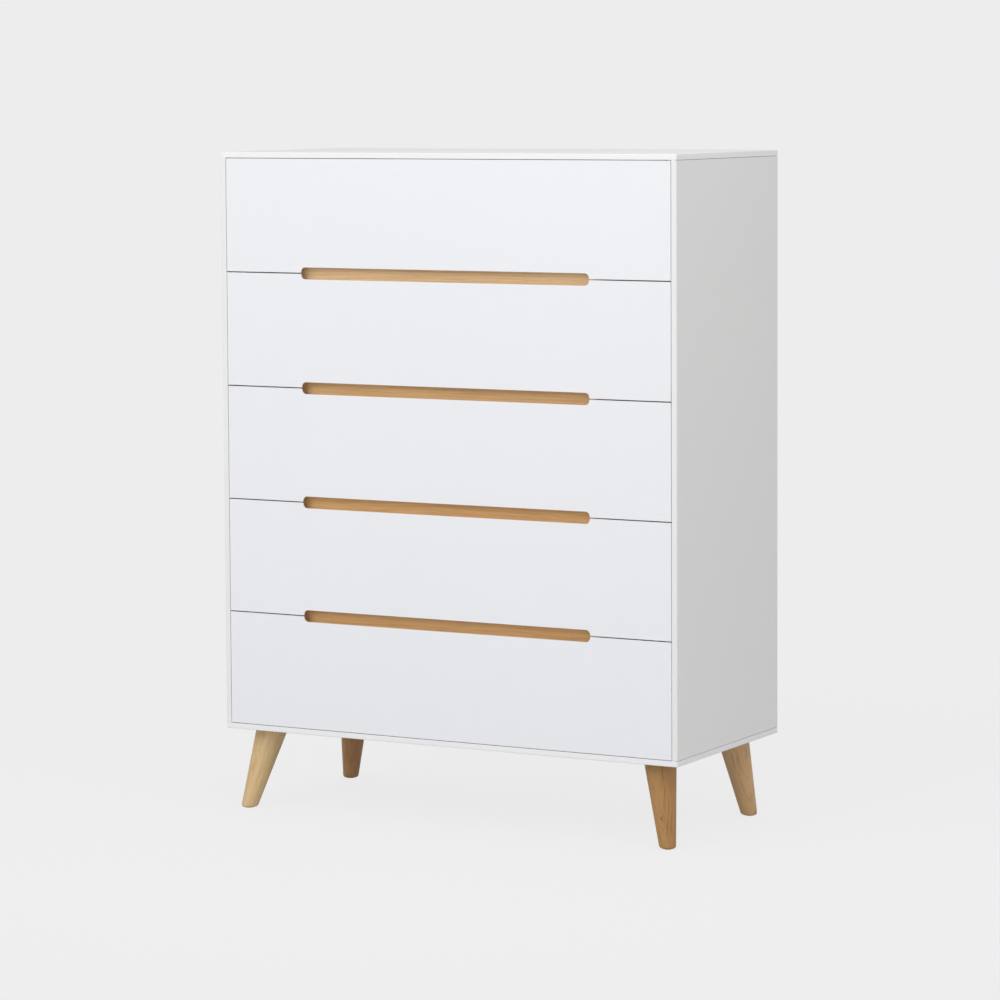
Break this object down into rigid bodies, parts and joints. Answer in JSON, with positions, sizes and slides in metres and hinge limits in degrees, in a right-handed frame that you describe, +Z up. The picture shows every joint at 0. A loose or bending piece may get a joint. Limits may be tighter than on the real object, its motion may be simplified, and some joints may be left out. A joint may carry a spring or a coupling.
{
  "type": "chest of drawers",
  "caption": "Tall chest of drawers with a white lacquered case and fronts, oak grip bars behind finger slots between the fronts, and splayed tapered oak legs.",
  "frame": {"origin": "middle of the footprint, on the floor", "axes": "+Z up, the drawers open towards -Y, X across the width"},
  "size_m": [0.9, 0.4, 1.175],
  "materials": {
    "white_lacquer": "satin white lacquer on board",
    "front_lacquer": "satin white lacquer on board",
    "box_board": "matt white foil on board",
    "back_board": "white faced hardboard",
    "oak": "clear satin oil on solid oak",
    "runner_steel": "zinc plated, rolled",
    "zinc_steel": "zinc plated",
    "glide_plastic": "matt moulded"
  },
  "bodies": {
    "carcass": {"top_panel": "white_lacquer", "bottom_panel": "white_lacquer", "side_panel_left": "white_lacquer", "side_panel_right": "white_lacquer", "back_panel": "back_board", "cross_rail_1": "white_lacquer", "cross_rail_2": "white_lacquer", "cross_rail_3": "white_lacquer", "cross_rail_4": "white_lacquer", "grip_bar_1": "oak", "grip_bar_2": "oak", "grip_bar_3": "oak", "grip_bar_4": "oak", "leg_front_left": "oak", "leg_front_right": "oak", "leg_rear_left": "oak", "leg_rear_right": "oak", "foot_glides": "glide_plastic", "leg_bolts": "zinc_steel", "tee_nuts": "zinc_steel", "cam_locks": "zinc_steel", "cam_bolts": "zinc_steel", "back_screws": "zinc_steel", "grip_screws": "zinc_steel", "slide_cabinet_members": "runner_steel"},
    "drawer_1": {"drawer_front_1": "front_lacquer", "drawer_side_left_1": "box_board", "drawer_side_right_1": "box_board", "drawer_back_1": "box_board", "drawer_bottom_1": "box_board", "slide_drawer_members_1": "runner_steel"},
    "runner_1": {"slide_middle_members_1": "runner_steel"},
    "drawer_2": {"drawer_front_2": "front_lacquer", "drawer_side_left_2": "box_board", "drawer_side_right_2": "box_board", "drawer_back_2": "box_board", "drawer_bottom_2": "box_board", "slide_drawer_members_2": "runner_steel"},
    "runner_2": {"slide_middle_members_2": "runner_steel"},
    "drawer_3": {"drawer_front_3": "front_lacquer", "drawer_side_left_3": "box_board", "drawer_side_right_3": "box_board", "drawer_back_3": "box_board", "drawer_bottom_3": "box_board", "slide_drawer_members_3": "runner_steel"},
    "runner_3": {"slide_middle_members_3": "runner_steel"},
    "drawer_4": {"drawer_front_4": "front_lacquer", "drawer_side_left_4": "box_board", "drawer_side_right_4": "box_board", "drawer_back_4": "box_board", "drawer_bottom_4": "box_board", "slide_drawer_members_4": "runner_steel"},
    "runner_4": {"slide_middle_members_4": "runner_steel"},
    "drawer_5": {"drawer_front_5": "front_lacquer", "drawer_side_left_5": "box_board", "drawer_side_right_5": "box_board", "drawer_back_5": "box_board", "drawer_bottom_5": "box_board", "slide_drawer_members_5": "runner_steel"},
    "runner_5": {"slide_middle_members_5": "runner_steel"}
  },
  "joints": [
    {"name": "drawer_1_slide", "type": "slide", "parent": "carcass", "child": "drawer_1", "axis": [0, -1, 0], "range_m": [0, 0.35]},
    {"name": "drawer_2_slide", "type": "slide", "parent": "carcass", "child": "drawer_2", "axis": [0, -1, 0], "range_m": [0, 0.35]},
    {"name": "drawer_3_slide", "type": "slide", "parent": "carcass", "child": "drawer_3", "axis": [0, -1, 0], "range_m": [0, 0.35]},
    {"name": "drawer_4_slide", "type": "slide", "parent": "carcass", "child": "drawer_4", "axis": [0, -1, 0], "range_m": [0, 0.35]},
    {"name": "drawer_5_slide", "type": "slide", "parent": "carcass", "child": "drawer_5", "axis": [0, -1, 0], "range_m": [0, 0.35]},
    {"name": "runner_1_slide", "type": "slide", "parent": "carcass", "child": "runner_1", "axis": [0, -1, 0], "range_m": [0, 0.175]},
    {"name": "runner_2_slide", "type": "slide", "parent": "carcass", "child": "runner_2", "axis": [0, -1, 0], "range_m": [0, 0.175]},
    {"name": "runner_3_slide", "type": "slide", "parent": "carcass", "child": "runner_3", "axis": [0, -1, 0], "range_m": [0, 0.175]},
    {"name": "runner_4_slide", "type": "slide", "parent": "carcass", "child": "runner_4", "axis": [0, -1, 0], "range_m": [0, 0.175]},
    {"name": "runner_5_slide", "type": "slide", "parent": "carcass", "child": "runner_5", "axis": [0, -1, 0], "range_m": [0, 0.175]}
  ],
  "couplings": [
    {"joint": "runner_1_slide", "follows": "drawer_1_slide", "ratio": 0.5},
    {"joint": "runner_2_slide", "follows": "drawer_2_slide", "ratio": 0.5},
    {"joint": "runner_3_slide", "follows": "drawer_3_slide", "ratio": 0.5},
    {"joint": "runner_4_slide", "follows": "drawer_4_slide", "ratio": 0.5},
    {"joint": "runner_5_slide", "follows": "drawer_5_slide", "ratio": 0.5}
  ]
}
